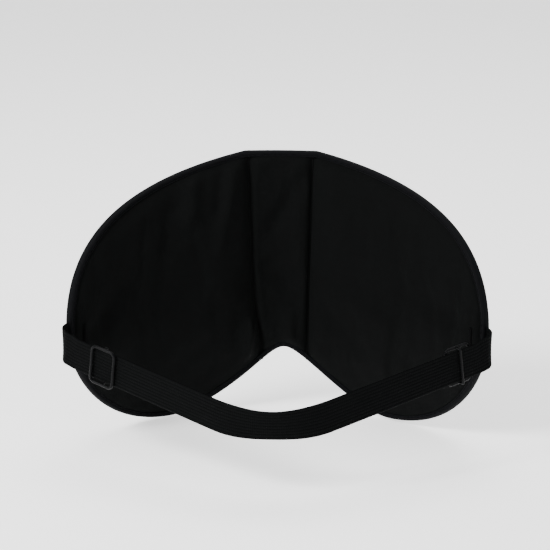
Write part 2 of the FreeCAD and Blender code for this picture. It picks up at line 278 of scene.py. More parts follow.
# %% Two layers in one closed mesh
def panel_layers(patch):
    """Vertices, faces, flat points, lining and border; both layers share the border."""
    rows, columns = patch.shape[:2]
    front = np.arange(rows * columns).reshape(rows, columns)
    inner = np.zeros((rows, columns), bool)
    inner[1:-1, 1:-1] = True
    back = front.copy()
    back[inner] = rows * columns + np.arange(inner.sum())
    thick = half_thickness(patch) * inner
    near = bend(patch[..., 0], patch[..., 1], MIDDLE_DEPTH - thick)
    far = bend(patch[..., 0], patch[..., 1], MIDDLE_DEPTH + thick)
    verts = np.concatenate([near.reshape(-1, 3), far[inner]])
    flat = np.concatenate([patch.reshape(-1, 2), patch[inner]])
    lining = np.arange(len(verts)) < rows * columns
    border = np.concatenate([~inner.reshape(-1), np.zeros(inner.sum(), bool)])

    def quads(index):
        return np.stack([index[:-1, :-1], index[:-1, 1:], index[1:, 1:], index[1:, :-1]], -1)

    faces = np.concatenate([
        quads(front).reshape(-1, 4), quads(back).reshape(-1, 4)[:, ::-1],
    ])
    return verts, faces, flat, lining, border


def new_mesh_object(name, verts, faces):
    """A smooth-shaded mesh object at the origin."""
    mesh = bpy.data.meshes.new(name)
    mesh.from_pydata(np.asarray(verts).tolist(), [], [list(map(int, face)) for face in faces])
    mesh.shade_smooth()
    piece = bpy.data.objects.new(name, mesh)
    bpy.context.scene.collection.objects.link(piece)
    return piece


def write_uv(piece, uv):
    """One UV point per vertex, spread to the corners that use it."""
    corners = np.empty(len(piece.data.loops), int)
    piece.data.loops.foreach_get("vertex_index", corners)
    layer = piece.data.uv_layers.new(name="cloth")
    layer.data.foreach_set("uv", np.asarray(uv)[corners].reshape(-1))


def read_vectors(items, name):
    """One (n, 3) array of a vector that each item holds under a name."""
    out = np.empty(len(items) * 3, np.float32)
    items.foreach_get(name, out)
    return out.reshape(-1, 3).astype(float)


def positions(piece):
    """The piece's vertex positions as one array."""
    return read_vectors(piece.data.vertices, "co")


def set_positions(piece, points):
    """Moves every vertex to its row of points."""
    piece.data.vertices.foreach_set("co", np.asarray(points, np.float32).reshape(-1))
    piece.data.update()


# %% Blow a panel up with the cloth solver
PUFF_FRAMES = 26
PUFF_PRESSURE = 12.0
PUFF_CAP = 0.0042
SPARE_CLOTH = -0.022
FABRIC = {
    "quality": 8, "mass": 0.25, "tension_stiffness": 25, "compression_stiffness": 25,
    "shear_stiffness": 8, "bending_stiffness": 0.6, "vertex_group_mass": "pins",
    "pin_stiffness": 1, "vertex_group_shrink": "spare", "shrink_min": 0.0,
    "shrink_max": SPARE_CLOTH, "use_pressure": True, "uniform_pressure_force": PUFF_PRESSURE,
}


def puff(piece, pinned, spare):
    """Cloth simulation under pressure; spare, from 0 to 1, is where cloth is over-long."""
    start = positions(piece)
    pins = piece.vertex_groups.new(name="pins")
    pins.add(np.flatnonzero(pinned).tolist(), 1.0, "REPLACE")
    long_cloth = piece.vertex_groups.new(name="spare")
    for level in np.linspace(0.1, 1, 10):
        chosen = np.flatnonzero(np.abs(spare - level) <= 0.05)
        long_cloth.add(chosen.tolist(), float(level), "REPLACE")
    cloth = piece.modifiers.new("puff", "CLOTH")
    fabric = cloth.settings
    for key, value in FABRIC.items():
        setattr(fabric, key, value)
    fabric.effector_weights.gravity = 0
    cloth.collision_settings.use_collision = False
    cloth.collision_settings.use_self_collision = False
    cloth.point_cache.frame_start = 1
    cloth.point_cache.frame_end = PUFF_FRAMES
    scene = bpy.context.scene
    for step in range(1, PUFF_FRAMES + 1):
        scene.frame_set(step)
    graph = bpy.context.evaluated_depsgraph_get()
    puffed = piece.evaluated_get(graph).to_mesh()
    moved = read_vectors(puffed.vertices, "co")
    piece.evaluated_get(graph).to_mesh_clear()
    piece.modifiers.remove(cloth)
    scene.frame_set(1)
    move = moved - start
    size = np.linalg.norm(move, axis=1)
    share = PUFF_CAP * np.tanh(size / PUFF_CAP) / np.maximum(size, 1e-9)
    set_positions(piece, start + move * share[:, None])
    print(piece.name, "puffed by up to", round(size.max() * 1000, 2), "mm, kept",
          round((size * share).max() * 1000, 2))

# %% [markdown]
# ## Carrying a profile along a path
# Tape, elastic, thread and wire are all one closed profile carried along a line.
# At each step of the line two directions say where the profile's own axes point,
# so the whole tube is one broadcast: point + a * side + b * up.

# %% Tubes from a profile and a path
def tube_mesh(rings, closed):
    """Verts and faces of rings (steps, around, 3); ends are capped when not closed."""
    steps, around = rings.shape[:2]
    index = np.arange(steps * around).reshape(steps, around)
    after = np.roll(index, -1, axis=1)
    if closed:
        ahead, ahead_after = np.roll(index, -1, axis=0), np.roll(after, -1, axis=0)
    else:
        ahead, ahead_after = index[1:], after[1:]
        index, after = index[:-1], after[:-1]
    faces = np.stack([index, after, ahead_after, ahead], -1).reshape(-1, 4).tolist()
    if not closed:
        faces.append(list(range(around))[::-1])
        faces.append(list(range((steps - 1) * around, steps * around)))
    return rings.reshape(-1, 3), faces


def unit(vectors):
    """Each vector over its own length."""
    return vectors / np.linalg.norm(vectors, axis=-1, keepdims=True)


ASLANT = [0.37, 0.21, 0.9]     # a direction that no wire of the object runs along


def round_wire(name, line, radius, around, closed=False):
    """A tube of round section: line + r cos(a) side + r sin(a) up."""
    if closed:
        tangent = unit(np.roll(line, -1, axis=0) - np.roll(line, 1, axis=0))
    else:
        tangent = unit(np.gradient(line, axis=0))
    side = unit(np.cross(tangent, ASLANT))
    up = np.cross(tangent, side)
    angle = np.linspace(0, 2 * np.pi, around, endpoint=False)
    rings = (
        line[:, None] + radius * np.cos(angle)[None, :, None] * side[:, None]
        + radius * np.sin(angle)[None, :, None] * up[:, None]
    )
    verts, faces = tube_mesh(rings, closed)
    return new_mesh_object(name, verts, faces)


# %% [markdown]
# ## The binding
# A woven tape is folded over the raw edge and stitched through. Its section is a
# flattened hairpin: round over the edge, flat on both sides, dipped where the
# thread pulls it in. Carried round the outline and bent with the pad, it closes
# on itself, with a slight ripple where the curve takes up the tape.

# %% The outline all the way round, with its inward direction
EDGE_COUNT = 900
FULL_EDGE = np.concatenate([HALF_EDGE[:-1], (HALF_EDGE * [-1, 1])[::-1][:-1]])
FULL_EDGE = even_steps(np.concatenate([FULL_EDGE, FULL_EDGE[:1]]), EDGE_COUNT + 1)[:-1]
EDGE_ALONG = np.arange(EDGE_COUNT) * EDGE_LENGTH / EDGE_COUNT
EDGE_TANGENT = unit(np.roll(FULL_EDGE, -1, axis=0) - np.roll(FULL_EDGE, 1, axis=0))
EDGE_INWARD = np.stack([EDGE_TANGENT[:, 1], -EDGE_TANGENT[:, 0]], -1)
TAPE_THICKNESS = 0.0005
STITCH_INSET = 0.0019
STITCH_DIP = 0.00022
STITCH_DIP_SPREAD = 0.0003
NOSE_REACH = 0.0011
FLAT_FROM = 0.0013       # where the tape's flat side starts
LIP_DROP, LIP_WIDTH = 0.00035, 0.0004
TAPE_RIPPLE, RIPPLE_LENGTH = 0.00022, 0.030


def ripple(along, seed, size, longest):
    """A closed, uneven wave: five sines with whole numbers of turns round the edge."""
    rng = np.random.default_rng(seed)
    turns = np.round(EDGE_LENGTH / longest * np.array([1, 1.37, 1.9, 2.6, 3.7]))
    phase = rng.uniform(0, 2 * np.pi, 5)
    heights = np.array([1, 0.8, 0.6, 0.45, 0.3])
    waves = heights * np.sin(2 * np.pi * turns * along[:, None] / EDGE_LENGTH + phase)
    return size * waves.sum(1) / heights.sum()


def tape_profile():
    """Closed hairpin section as (inset, depth): round nose, dipped sides, inner return."""
    outer = EDGE_HALF_THICKNESS + TAPE_THICKNESS
    nose_angle = np.linspace(-np.pi / 2, np.pi / 2, 13)
    nose = np.stack([NOSE_REACH * (1 - np.cos(nose_angle)), outer * np.sin(nose_angle)], -1)
    inset = np.linspace(FLAT_FROM, TAPE_WIDTH, 10)
    dip = STITCH_DIP * np.exp(-((inset - STITCH_INSET) / STITCH_DIP_SPREAD) ** 2)
    lip = LIP_DROP * np.clip((inset - TAPE_WIDTH + LIP_WIDTH) / LIP_WIDTH, 0, 1) ** 2
    side = np.stack([inset, outer - dip - lip], -1)
    back = [[TAPE_WIDTH, EDGE_HALF_THICKNESS - 0.0003], [0.0008, 0.0005]]
    flank = np.concatenate([side, back])
    return np.concatenate([(flank * [1, -1])[::-1], nose, flank])


def on_pad(along_index, inset, depth):
    """World points at an inset from the finished edge and a depth from the middle."""
    flat = FULL_EDGE[along_index] + EDGE_INWARD[along_index] * np.asarray(inset)[..., None]
    return bend(flat[..., 0], flat[..., 1], MIDDLE_DEPTH + np.asarray(depth))


profile = tape_profile()
wave = ripple(EDGE_ALONG, 3, TAPE_RIPPLE, RIPPLE_LENGTH)
tape_rings = on_pad(
    np.arange(EDGE_COUNT)[:, None], profile[None, :, 0],
    profile[None, :, 1] + wave[:, None] * (profile[None, :, 0] / TAPE_WIDTH),
)
verts, faces = tube_mesh(tape_rings, True)
edge_tape = new_mesh_object("edge_tape", verts, faces)
across = np.concatenate([[0], np.cumsum(np.linalg.norm(np.diff(profile, axis=0), axis=1))])
write_uv(edge_tape, np.stack([
    np.repeat(EDGE_ALONG, len(profile)), np.tile(across, EDGE_COUNT)], -1))
print("edge tape:", len(verts), "points")


# %% [markdown]
# ## Stitches
# A lockstitch shows as a row of short thread lengths, each a little arch that
# dips into the cloth at both ends. One arch is made once and set down along the
# stitch line by broadcasting, on the face side and on the outer side.

# %% A row of stitches
STITCH_PITCH = 0.0028
STITCH_LENGTH = 0.0021
THREAD_RADIUS = 0.00017


def stitch_arch(around=6, rings=5):
    """(along, side, up) points of one stitch: an arch 0.6 r high with pinched ends."""
    t = np.linspace(-1, 1, rings)[:, None]
    angle = np.linspace(0, 2 * np.pi, around, endpoint=False)[None]
    thick = THREAD_RADIUS * np.sqrt(np.maximum(1 - t**4, 0.04))
    along = np.broadcast_to(t * STITCH_LENGTH / 2, (rings, around))
    side = thick * np.cos(angle)
    up = thick * np.sin(angle) + THREAD_RADIUS * (0.6 - 1.6 * t**2)
    return np.stack([along, side, up], -1)


def stitch_rows(name, rows):
    """Every stitch is its centre plus the arch's numbers times three directions."""
    centres, along, up = (np.concatenate(parts) for parts in zip(*rows))
    arch = stitch_arch()
    side = np.cross(up, along)
    points = (
        centres[:, None, None]
        + arch[None, ..., :1] * along[:, None, None]
        + arch[None, ..., 1:2] * side[:, None, None]
        + arch[None, ..., 2:] * up[:, None, None]
    )
    verts, faces = tube_mesh(points[0], False)
    count = len(verts)
    quads = [[corner + count * n for corner in face]
             for n in range(len(points)) for face in faces]
    return new_mesh_object(name, points.reshape(-1, 3), quads)


edge_rows = []
for face_side in (-1, 1):
    count = int(EDGE_LENGTH / STITCH_PITCH)
    at = np.round(np.arange(count) * EDGE_COUNT / count).astype(int) % EDGE_COUNT
    surface = EDGE_HALF_THICKNESS + TAPE_THICKNESS - STITCH_DIP
    seat = face_side * surface + wave[at] * STITCH_INSET / TAPE_WIDTH
    centre = on_pad(at, STITCH_INSET, seat)
    ahead = on_pad((at + 1) % EDGE_COUNT, STITCH_INSET, seat)
    lift = on_pad(at, STITCH_INSET, seat + face_side * 0.001)
    edge_rows.append((centre, unit(ahead - centre), unit(lift - centre)))
edge_stitching = stitch_rows("edge_stitching", edge_rows)
print("edge stitches:", 2 * count)

# %% [markdown]
# ## The elastic
# One flat elastic runs from wing to wing. Its ends are sewn in between lining and
# cover, come out over the edge, turn back round the tip of the wing and meet in a
# loop behind the head. Off the head the loop droops under its own weight, its
# ends sink as they turn, and its middle leans forward. The route is tangent arcs
# and straight runs, as in the CAD model, and the joint's own place in the frame
# says where it starts to swing.

# %% The elastic's route
ELASTIC_WIDTH = 0.015
ELASTIC_THICKNESS = 0.0009
TAIL_LENGTH = 0.009
TAIL_FREE = 0.0015
TURN_RADIUS = 0.005
TAIL_RUN = 0.0042
SEWN_HEIGHT = 0.0
TAIL_DROP = 0.0036
TAIL_CURL = 1.5
DROOP = math.radians(18.5)
RUN_ANGLE = math.radians(33)
MIDDLE_HALF = 0.025
RUN_TILT = math.radians(4)
MIDDLE_TILT = math.radians(19)
PLAN_ANGLE = math.atan(math.tan(RUN_ANGLE) * math.cos(DROOP))
swing = next(joint for joint in frame["joints"] if joint["name"] == "strap_swing")
HINGE_Y, HINGE_Z = (float(value) for value in swing["pos_m"][1:3])


def heading(angle):
    """Level direction at an angle from +X towards +Y."""
    angle = np.asarray(angle, float)
    return np.stack([np.cos(angle), np.sin(angle), np.zeros_like(angle)], -1)


def right_tail():
    """Middle line of the right tail, from inside the pad to the hinge."""
    angle = np.linspace(PAD_HALF_WIDTH - TAIL_LENGTH, PAD_HALF_WIDTH, 12)
    sewn = bend(angle, SEWN_HEIGHT, MIDDLE_DEPTH)
    bend_end = PAD_HALF_WIDTH / FACE_RADIUS
    free = sewn[-1] + heading(-bend_end) * TAIL_FREE
    start = math.pi / 2 - bend_end
    end = PLAN_ANGLE - math.pi / 2
    centre = free - heading(start) * TURN_RADIUS
    turn = centre + heading(np.linspace(start, end, 24)) * TURN_RADIUS
    hinge = turn[-1] + heading(PLAN_ANGLE - math.pi) * TAIL_RUN
    outside = np.concatenate([sewn[-1:], turn, hinge[None]])
    walked = np.cumsum(np.linalg.norm(np.diff(outside, axis=0), axis=1))
    outside[1:, 2] -= TAIL_DROP * (walked / walked[-1]) ** TAIL_CURL
    return np.concatenate([sewn[:-1], outside])


def drooping(across, reach):
    """Point of the drooping plane through both hinges, reach metres out from them."""
    y = HINGE_Y - np.asarray(reach) * math.cos(DROOP)
    z = HINGE_Z - np.asarray(reach) * math.sin(DROOP)
    return np.stack(np.broadcast_arrays(np.asarray(across, float), y, z), -1)


TAIL = right_tail()
HINGE_X = TAIL[-1, 0]
RUN_REACH = (HINGE_X - MIDDLE_HALF) * math.tan(RUN_ANGLE)
print("hinge in the frame", HINGE_Y, HINGE_Z, "and from the route", TAIL[-1])


def right_half_route():
    """From inside the pad to x = 0, walked evenly and eased at the hinge."""
    radius = MIDDLE_HALF / math.sin(RUN_ANGLE)
    turn = np.linspace(RUN_ANGLE, 0, 40)
    middle = drooping(
        radius * np.sin(turn), RUN_REACH + radius * (np.cos(turn) - math.cos(RUN_ANGLE)))
    line = np.concatenate([TAIL, middle])
    return even_steps(line, 420)


def ease_line(line, passes):
    """Moves each inner point to the mean of itself and its neighbours, several times."""
    for _ in range(passes):
        line[1:-1] = (line[:-2] + 2 * line[1:-1] + line[2:]) / 4
    return line


ROUTE = right_half_route()
STRAP_STEP = np.linalg.norm(ROUTE[1] - ROUTE[0])
ROUTE = ease_line(ROUTE, 12)
print("elastic from wing to wing:", round(2 * STRAP_STEP * len(ROUTE) * 1000), "mm")

# %% [markdown]
# ## Webbing section
# Woven elastic has rubber cords side by side, and the yarn between them makes
# grooves. So its section is a flat bar whose two faces are a row of low arches,
# with a rounded selvedge. The crosswise yarn is finer than a mesh should be, so
# the material draws it.

# %% Sweep the webbing
RIBS = 10


def webbing_profile():
    """(across, out) loop: half thickness times 0.62 + 0.38 |sin|, closed by round ends."""
    v = np.linspace(-1, 1, RIBS * 7 + 1)
    arches = np.abs(np.sin(np.pi * RIBS * (v + 1) / 2)) ** 0.6
    edge = np.sqrt(np.clip(1 - np.abs(v) ** 24, 0, 1))
    out = ELASTIC_THICKNESS / 2 * (0.62 + 0.38 * arches) * (0.35 + 0.65 * edge)
    face = np.stack([v * ELASTIC_WIDTH / 2, out], -1)
    back = face[::-1] * [1, -1]
    return np.concatenate([face, back])


TILT_FADE = 0.003        # the run's tilt fades in over this width, past the hinge
BEHIND_HINGE = 0.0022


def strap_axes(line):
    """Tangent, width and outward directions; the width leans forward in the middle."""
    tangent = unit(np.gradient(line, axis=0))
    share = np.clip(1 - line[:, 0] / MIDDLE_HALF, 0, 1)
    past_hinge = line[:, 1] < HINGE_Y + BEHIND_HINGE
    sag = np.clip(1 + (HINGE_X - line[:, 0]) / TILT_FADE, 0, 1) * past_hinge
    tilt = RUN_TILT * sag + (MIDDLE_TILT - RUN_TILT) * (1 - np.cos(np.pi * share)) / 2
    lean = np.stack([np.zeros_like(tilt), -np.sin(tilt), np.cos(tilt)], -1)
    width = unit(lean - tangent * (lean * tangent).sum(-1, keepdims=True))
    return tangent, width, np.cross(width, tangent)


def webbing(name, line, side):
    """Half of the elastic; side mirrors it to the left wing."""
    tangent, width, out = strap_axes(line)
    section = webbing_profile()
    rings = (
        line[:, None] + section[None, :, :1] * width[:, None]
        + section[None, :, 1:] * out[:, None]
    )
    if side == LEFT:
        rings = (rings * [-1, 1, 1])[:, ::-1]
    verts, faces = tube_mesh(rings, False)
    piece = new_mesh_object(name, verts, faces)
    around = np.tile(section[:, 0] if side == RIGHT else section[::-1, 0], len(line))
    along = np.repeat(np.arange(len(line)) * STRAP_STEP, len(section))
    write_uv(piece, np.stack([along, around], -1))
    return piece


strap_right = webbing("strap_right_half", ROUTE, RIGHT)
strap_left = webbing("strap_left_half", ROUTE, LEFT)
for half in (strap_left, strap_right):
    print(half.name, len(half.data.polygons), "faces")

# %% [markdown]
# ## The wire slides
# Each slide is a rounded ring of coated wire with a staple across its middle. On
# the left the elastic runs behind the ring's two bars and over the staple. On
# the right the same slide is turned over. The CAD node has the right shape in
# coarse facets, so it is drawn again as a finer tube in the same place.

# %% Bend wire into a slide
SLIDE_LENGTH = 0.0135
SLIDE_WIRE = 0.0013
SLIDE_BAR = 0.0011
SLIDE_CORNER = 0.0022
SLIDE_BEND = 0.0007
SLIDE_CLEARANCE = 0.00025
WINDOW_CLEARANCE = 0.0004
SLIDE_REACH = {LEFT: 0.0163, RIGHT: 0.0095}


def rounded_line(corners, radius, closed, steps=9):
    """Straight lines with an arc at each bend; the arc's centre is radius from both."""
    corners = np.asarray(corners, float)
    count = len(corners)
    parts = []
    for index in range(count):
        corner = corners[index]
        if not closed and index in (0, count - 1):
            parts.append(corner[None])
            continue
        back = unit(corners[index - 1] - corner)
        on = unit(corners[(index + 1) % count] - corner)
        angle = np.linspace(0, np.pi / 2, steps)[:, None]
        centre = corner + (back + on) * radius
        parts.append(centre - radius * (np.cos(angle) * on + np.sin(angle) * back))
    return np.concatenate(parts)


def slide_axes(side):
    """Along, width and outward directions of a straight run, and its hinge point."""
    start = drooping(side * HINGE_X, 0)
    along = unit(drooping(side * MIDDLE_HALF, RUN_REACH) - start)
    lean = np.array([0, -math.sin(RUN_TILT), math.cos(RUN_TILT)])
    width = unit(lean - along * (lean @ along))
    out = np.cross(along, width)
    if out[1] > 0:
        out = -out
    return start, along, width, out


def wire_slide(name, side, flipped):
    """Ring and staple, from (along, width, out) numbers to the run's own directions."""
    start, along, width, out = slide_axes(side)
    if flipped:
        out = -out
    middle = start + along * SLIDE_REACH[side]
    ring_along = (SLIDE_LENGTH - SLIDE_WIRE) / 2
    across = ELASTIC_WIDTH / 2 + WINDOW_CLEARANCE + SLIDE_WIRE / 2
    over = ELASTIC_THICKNESS / 2 + SLIDE_CLEARANCE + SLIDE_WIRE / 2
    ring = rounded_line([
        (-ring_along, -across, over), (ring_along, -across, over),
        (ring_along, across, over), (-ring_along, across, over),
    ], SLIDE_CORNER, True)
    staple = rounded_line([
        (0, across, over), (0, across, -over), (0, -across, -over), (0, -across, over),
    ], SLIDE_BEND, False)
    axes = np.stack([along, width, out])
    ring_piece = round_wire(name, middle + ring @ axes, SLIDE_WIRE / 2, 20, True)
    staple_piece = round_wire(name + "_staple", middle + staple @ axes, SLIDE_BAR / 2, 20)
    join_pieces(ring_piece, staple_piece)
    return ring_piece


def join_pieces(first, other):
    """Adds the other piece's mesh to the first and removes that piece."""
    offset = len(first.data.vertices)
    verts = np.concatenate([positions(first), positions(other)])
    faces = [list(face.vertices) for face in first.data.polygons]
    faces += [[offset + v for v in face.vertices] for face in other.data.polygons]
    first.data.clear_geometry()
    first.data.from_pydata(verts.tolist(), [], faces)
    first.data.shade_smooth()
    bpy.data.objects.remove(other)


def outwards(piece):
    """Turns every closed shell of a piece so that its faces point outwards."""
    shape = bmesh.new()
    shape.from_mesh(piece.data)
    bmesh.ops.recalc_face_normals(shape, faces=shape.faces)
    shape.to_mesh(piece.data)
    shape.free()


SLIDES = {
    "slide_left": wire_slide("wire_slide_left", LEFT, False),
    "slide_right": wire_slide("wire_slide_right", RIGHT, True),
}
for node, slide in SLIDES.items():
    low, high = (np.array(corner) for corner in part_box(node))
    points = positions(slide)
    print(node, "off the frame by", np.abs(points.min(0) - low).max(),
          np.abs(points.max(0) - high).max())

# %% [markdown]
# ## Bar tacks
# Where the elastic's tails lie between the layers, a bar tack is sewn through
# the pad: a close zigzag of thread, nearly as tall as the elastic is wide. One
# zigzag line, laid on the lining and bent with it, is the middle of a thin thread.

# %% Sew the bar tacks
TACK_WIDTH = 0.0016
TACK_HEIGHT = 0.012
TACK_AT = 0.0070
TACK_TURNS = 26
TACK_THREAD = 0.00016
TACK_LIFT = 0.0001       # how far the thread stands off the lining
TACK_PULL = 0.00015      # and how much deeper it goes at each turn


def bar_tack(name, side):
    """Zigzag in (s, z): s swings half a tack's width each way while z climbs."""
    t = np.linspace(0, 1, TACK_TURNS * 8 + 1)
    swing_out = np.arcsin(np.sin(2 * np.pi * TACK_TURNS * t)) * 2 / np.pi
    s = PAD_HALF_WIDTH - TACK_AT + swing_out * TACK_WIDTH / 2
    z = SEWN_HEIGHT + (t - 0.5) * TACK_HEIGHT
    flat = np.stack([s, z], -1)
    depth = MIDDLE_DEPTH - half_thickness(flat) - TACK_LIFT + TACK_PULL * swing_out**4
    line = bend(side * s, z, depth)
    return round_wire(name, line, TACK_THREAD, 6)


TACKS = [bar_tack("bar_tack_left", LEFT), bar_tack("bar_tack_right", RIGHT)]

# %% [markdown]
# ## Make the three panels
# The wings and the centre panel are blown up one after another. The left wing
# starts as the mirror of the right one, but its spare cloth lies elsewhere, so
# the two don't pucker alike. Fine work that a solver at this size can't show is
# added along the surface afterwards: the soft pleats beside the seams, the fold
# at the foot of the left seam, and the slack fold in the centre panel.

# %% Listed folds
def fold(flat, start, end, width, height):
    """A soft ridge on the line from start to end: height e^(-(d/width)^2), faded ends."""
    start, end = np.array(start), np.array(end)
    way = end - start
    length = np.linalg.norm(way)
    way = way / length
    along = (flat - start) @ way
    aside = (flat - start) @ np.array([-way[1], way[0]])
    fade = np.clip(np.minimum(along, length - along) / (0.3 * length), 0, 1)
    return height * np.exp(-((aside / width) ** 2)) * np.sin(fade * np.pi / 2)


def seam_point(side, height, aside):
    """Flat point at a height, aside from a channel seam, away from the middle."""
    return side * (seam_x(height) + aside), height


def seam_folds(side, *folds):
    """Folds whose ends are (height, aside) at a channel seam, as folds of flat points."""
    return [(seam_point(side, *start), seam_point(side, *end), width, height)
            for start, end, width, height in folds]


LINING_FOLDS = {
    "wing_left": seam_folds(
        LEFT,
        ((0.072, 0.006), (0.026, 0.017), 0.0034, 0.0017),
        ((0.068, 0.025), (0.04, 0.03), 0.0036, 0.0019),
        ((0.074, 0.012), (0.046, 0.015), 0.0026, -0.0014),
        ((0.066, 0.033), (0.03, 0.042), 0.005, -0.001),
        ((-0.003, 0.003), (-0.026, 0.008), 0.0019, 0.0024),
        ((0.004, 0.0075), (-0.02, 0.014), 0.0024, -0.0012),
        ((0.024, 0.012), (-0.016, 0.033), 0.008, 0.0013),
    ) + [((-0.074, 0.026), (-0.097, -0.006), 0.007, -0.002)],
    "wing_right": seam_folds(
        RIGHT,
        ((0.068, 0.0085), (0.028, 0.02), 0.007, 0.0014),
        ((0.06, 0.03), (0.03, 0.052), 0.009, -0.001),
        ((0.014, 0.008), (-0.008, 0.05), 0.006, 0.0012),
        ((0.004, 0.006), (-0.02, 0.03), 0.0045, -0.001),
    ) + [((0.06, 0.016), (0.098, 0.006), 0.006, -0.002)],
    "centre_panel": [
        ((0.0125, 0.066), (-0.007, 0.034), 0.0036, 0.0021),
        ((0.007, 0.07), (0.01, 0.015), 0.0032, -0.0014),
        ((-0.0075, 0.024), (0.006, 0.007), 0.0055, 0.0021),
        ((0.005, 0.0), (0.004, -0.02), 0.0034, -0.0018),
    ],
}

# %% Stuff, fold and refine a panel
def beads_relief(flat, seed, size):
    """Low lumps of the loose filling: six crossed sines of 9 to 26 mm."""
    rng = np.random.default_rng(seed)
    angle = rng.uniform(0, np.pi, 6)
    length = rng.uniform(0.009, 0.026, 6)
    phase = rng.uniform(0, 2 * np.pi, 6)
    way = np.stack([np.cos(angle), np.sin(angle)], 0) / length
    return size * np.sin(2 * np.pi * (flat @ way) + phase).sum(1) / 6


def stuffed_panel(name, patch, seed):
    """A panel: closed layers, cloth puff, listed folds, then two subdivisions."""
    verts, faces, flat, lining, border = panel_layers(patch)
    piece = new_mesh_object(name, verts, faces)
    write_uv(piece, flat)
    outwards(piece)
    edge = distance_to_edge(flat)
    seam = distance_to_seam(flat)
    rng = np.random.default_rng(seed)
    patchy = 0.75 + 0.25 * np.sign(beads_relief(flat, seed + 7, 1.0)) * rng.uniform(0.5, 1)
    spare = np.clip(np.exp(-np.minimum(seam, edge) / 0.025) * patchy, 0, 1)
    puff(piece, border | (edge < TAPE_WIDTH), spare)
    free = np.clip(np.minimum(edge - TAPE_WIDTH, seam) / 0.004, 0, 1)
    lift = beads_relief(flat, seed, 0.00045) * free
    for start, end, width, height in LINING_FOLDS[name]:
        lift = lift + fold(flat, start, end, width, height) * free * lining
    normals = read_vectors(piece.data.vertex_normals, "vector")
    set_positions(piece, positions(piece) + normals * lift[:, None])
    corner_of = np.empty(len(piece.data.edges) * 2, int)
    piece.data.edges.foreach_get("vertices", corner_of)
    sewn = border[corner_of.reshape(-1, 2)].all(1)
    crease = piece.data.attributes.new("crease_edge", "FLOAT", "EDGE")
    crease.data.foreach_set("value", sewn.astype(np.float32))
    smooth = piece.modifiers.new("finer", "SUBSURF")
    smooth.levels = smooth.render_levels = 2
    return piece


MIRRORED_WING = WING[:, ::-1] * [-1, 1]
wing_right = stuffed_panel("wing_right", WING, 11)
wing_left = stuffed_panel("wing_left", MIRRORED_WING, 23)
centre_panel = stuffed_panel("centre_panel", CENTRE, 37)
PANELS = [wing_left, centre_panel, wing_right]

# %% [markdown]
# ## The channel seams
# Between two panels both layers are drawn down to one line. What lies in that
# line is the folded seam allowance, a thin cord of cloth, with the channel
# stitches sunk along it on both sides.

# %% Seam cords and channel stitches
SEAM_CORD_RADIUS = 0.0006
SEAM_STEPS = 160
STITCH_SEAT = 0.0004      # stitches are pulled into the cord


def seam_line(side, depth, count):
    """World points down a channel seam, from the crown to the notch, at a depth."""
    flat = np.linspace(HALF_EDGE[TOP_AT], HALF_EDGE[FOOT_AT], count)
    return bend(side * flat[:, 0], flat[:, 1], depth)


def channel_seam(name, side):
    """The cord of folded cloth, with a row of stitches on each face of it."""
    cord = round_wire(name, seam_line(side, MIDDLE_DEPTH, SEAM_STEPS), SEAM_CORD_RADIUS, 10)
    rows = []
    length = np.linalg.norm(HALF_EDGE[TOP_AT] - HALF_EDGE[FOOT_AT])
    count = int(length / STITCH_PITCH)
    for face_side in (-1, 1):
        line = seam_line(side, MIDDLE_DEPTH + face_side * STITCH_SEAT, 2 * count + 1)
        above = seam_line(side, MIDDLE_DEPTH + face_side * 0.002, 2 * count + 1)
        rows.append((line[1::2], unit(line[2::2] - line[:-1:2]), unit(above - line)[1::2]))
    return cord, stitch_rows(name + "_stitches", rows)


SEAM_CORDS, SEAM_STITCHES = zip(
    channel_seam("seam_cord_left", LEFT), channel_seam("seam_cord_right", RIGHT))

# %% [markdown]
# ## Writing shader maths as expressions
# A woven finish is arithmetic on the cloth's own coordinates. This class wraps a
# socket so that +, - and * add Math nodes, and one method makes every other kind
# of node from its type, its settings and its inputs.

# %% Sockets that do arithmetic
class Flow:
    """A value socket in a material's node tree."""

    def __init__(self, tree, socket):
        self.tree = tree
        self.socket = socket

    def math(self, operation, *others, clamp=False):
        node = self.tree.nodes.new("ShaderNodeMath")
        node.operation = operation
        node.use_clamp = clamp
        for slot, value in zip(node.inputs, (self, *others)):
            connect(self.tree, value, slot)
        return Flow(self.tree, node.outputs[0])

    def __add__(self, other):
        return self.math("ADD", other)

    def __sub__(self, other):
        return self.math("SUBTRACT", other)

    def __mul__(self, other):
        return self.math("MULTIPLY", other)

    def __rsub__(self, other):
        return (self * -1.0).math("ADD", other)

    __radd__ = __add__
    __rmul__ = __mul__

    def sine(self, period):
        """0 to 1 wave with this period."""
        return (self * (2 * math.pi / period)).math("SINE") * 0.5 + 0.5

    def power(self, exponent):
        return self.math("POWER", exponent)


def connect(tree, value, slot):
    """Links a Flow or a socket to an input, or sets a plain number or colour on it."""
    if isinstance(value, Flow):
        tree.links.new(value.socket, slot)
    elif isinstance(value, bpy.types.NodeSocket):
        tree.links.new(value, slot)
    elif isinstance(value, (tuple, list)) and len(value) == 3 and slot.type == "RGBA":
        slot.default_value = (*value, 1.0)
    else:
        slot.default_value = value


